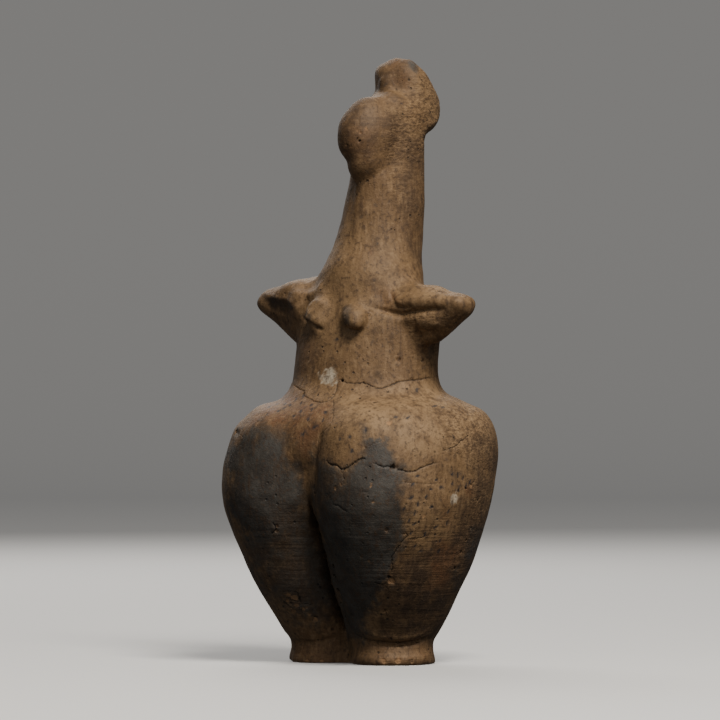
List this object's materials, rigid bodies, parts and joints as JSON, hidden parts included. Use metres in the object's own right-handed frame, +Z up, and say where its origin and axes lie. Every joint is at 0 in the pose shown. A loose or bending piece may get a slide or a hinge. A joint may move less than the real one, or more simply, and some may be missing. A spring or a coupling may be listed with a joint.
{
  "type": "goddess idol",
  "caption": "Fired-clay goddess idol with very broad paired thighs, a drawn-in waist, arm stumps, two small breasts, a tall columnar neck, a smooth knob of a face and a raised crest of hair.",
  "frame": {"origin": "centre of the sole under the two feet, on the surface the idol stands on", "axes": "+Z up, along the neck; the idol looks along -Y and its own left arm points along +X"},
  "size_m": [0.1714, 0.139, 0.3811],
  "materials": {
    "fired_clay": "matte"
  },
  "bodies": {
    "root": {"idol": "fired_clay"}
  },
  "joints": []
}
